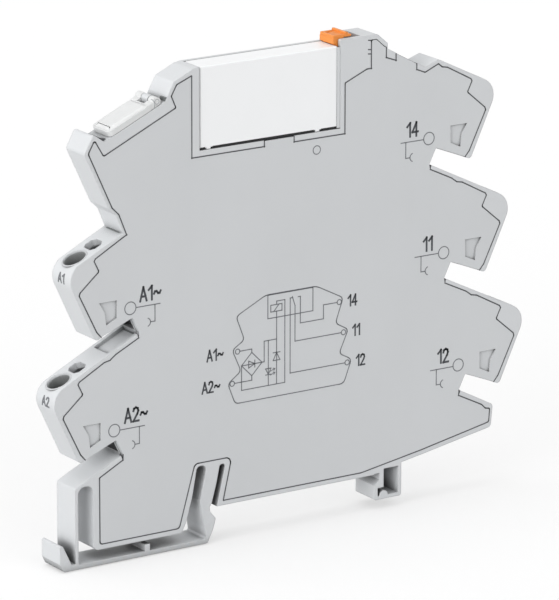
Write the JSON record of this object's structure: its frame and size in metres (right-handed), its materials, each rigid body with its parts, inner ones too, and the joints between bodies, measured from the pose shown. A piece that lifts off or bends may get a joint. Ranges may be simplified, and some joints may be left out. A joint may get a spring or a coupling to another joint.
{
  "type": "interface relay",
  "caption": "Slim rail-mount interface relay: grey push-in housing with a plug-in white relay, an orange ejector lever and a clear marker cover.",
  "frame": {"origin": "middle of the 35 mm rail's top face, in the middle of the module's width", "axes": "+X across the rail, from the coil terminals to the contact terminals; +Y along the rail, away from the cover side; +Z out from the rail"},
  "size_m": [0.0968, 0.006, 0.0867],
  "materials": {
    "housing_grey": "fine matt moulded plastic",
    "cover_grey": "fine matt moulded plastic",
    "lever_orange": "satin orange plastic",
    "clear_plastic": "clear plastic",
    "relay_white": "satin white plastic",
    "base_black": "black plastic",
    "bobbin_cream": "cream plastic",
    "winding_copper": "enamelled copper wire",
    "soft_iron": "plated soft iron",
    "contact_alloy": "copper alloy",
    "tinned_bar": "tinned copper",
    "spring_steel": "bright spring steel",
    "board_green": "green solder resist",
    "chip_black": "black moulding",
    "chip_beige": "ceramic",
    "led_lens": "clear green lens"
  },
  "bodies": {
    "housing": {"housing_shell": "housing_grey", "side_cover": "cover_grey", "light_guide": "clear_plastic", "current_bar_14": "tinned_bar", "current_bar_11": "tinned_bar", "current_bar_12": "tinned_bar", "current_bar_a1": "tinned_bar", "current_bar_a2": "tinned_bar", "coil_socket_a1": "tinned_bar", "coil_socket_a2": "tinned_bar", "clamp_spring_14": "spring_steel", "clamp_spring_11": "spring_steel", "clamp_spring_12": "spring_steel", "clamp_spring_a1": "spring_steel", "clamp_spring_a2": "spring_steel", "circuit_board": "board_green", "bridge_rectifier": "chip_black", "freewheel_diode": "chip_black", "filter_capacitor": "chip_beige", "led_resistor": "chip_black", "status_led": "led_lens"},
    "lever": {"ejector_lever": "lever_orange"},
    "marker": {"marker_cover": "clear_plastic"},
    "relay": {"relay_case": "relay_white", "relay_base": "base_black", "coil_pin_a1": "tinned_bar", "coil_pin_a2": "tinned_bar", "common_terminal": "contact_alloy", "coil_bobbin": "bobbin_cream", "coil_winding": "winding_copper", "coil_core": "soft_iron", "yoke": "soft_iron", "normally_closed_contact": "contact_alloy", "normally_open_contact": "contact_alloy"},
    "armature": {"armature": "soft_iron"},
    "card": {"pusher_card": "bobbin_cream"},
    "blade": {"moving_contact_blade": "contact_alloy"}
  },
  "joints": [
    {"name": "lever_pivot", "type": "hinge", "parent": "housing", "child": "lever", "pos_m": [0.0139, 0, 0.0656], "axis": [0, 1, 0], "range_deg": [0, 12]},
    {"name": "relay_lift", "type": "slide", "parent": "housing", "child": "relay", "axis": [0, 0, 1], "range_m": [0, 0.00184]},
    {"name": "armature_pivot", "type": "hinge", "parent": "relay", "child": "armature", "pos_m": [-0.01755, 0, 0.06675], "axis": [0, 1, 0], "range_deg": [0, 3.5], "stiffness_Nm_per_rad": 0.0004, "springref_deg": -5.73},
    {"name": "card_slide", "type": "slide", "parent": "relay", "child": "card", "axis": [1, 0, 0], "range_m": [0, 0.00057]},
    {"name": "blade_flex", "type": "hinge", "parent": "relay", "child": "blade", "pos_m": [0.001, 0, 0.066], "axis": [0, 1, 0], "range_deg": [0, 3.3]},
    {"name": "marker_hinge", "type": "hinge", "parent": "housing", "child": "marker", "pos_m": [-0.0277, 0, 0.0735], "axis": [0, 1, 0], "range_deg": [0, 80]}
  ],
  "couplings": [
    {"joint": "lever_pivot", "follows": "relay_lift", "rad_per_m": 113.6},
    {"joint": "armature_pivot", "follows": "card_slide", "rad_per_m": 106.4},
    {"joint": "blade_flex", "follows": "card_slide", "rad_per_m": 97}
  ]
}
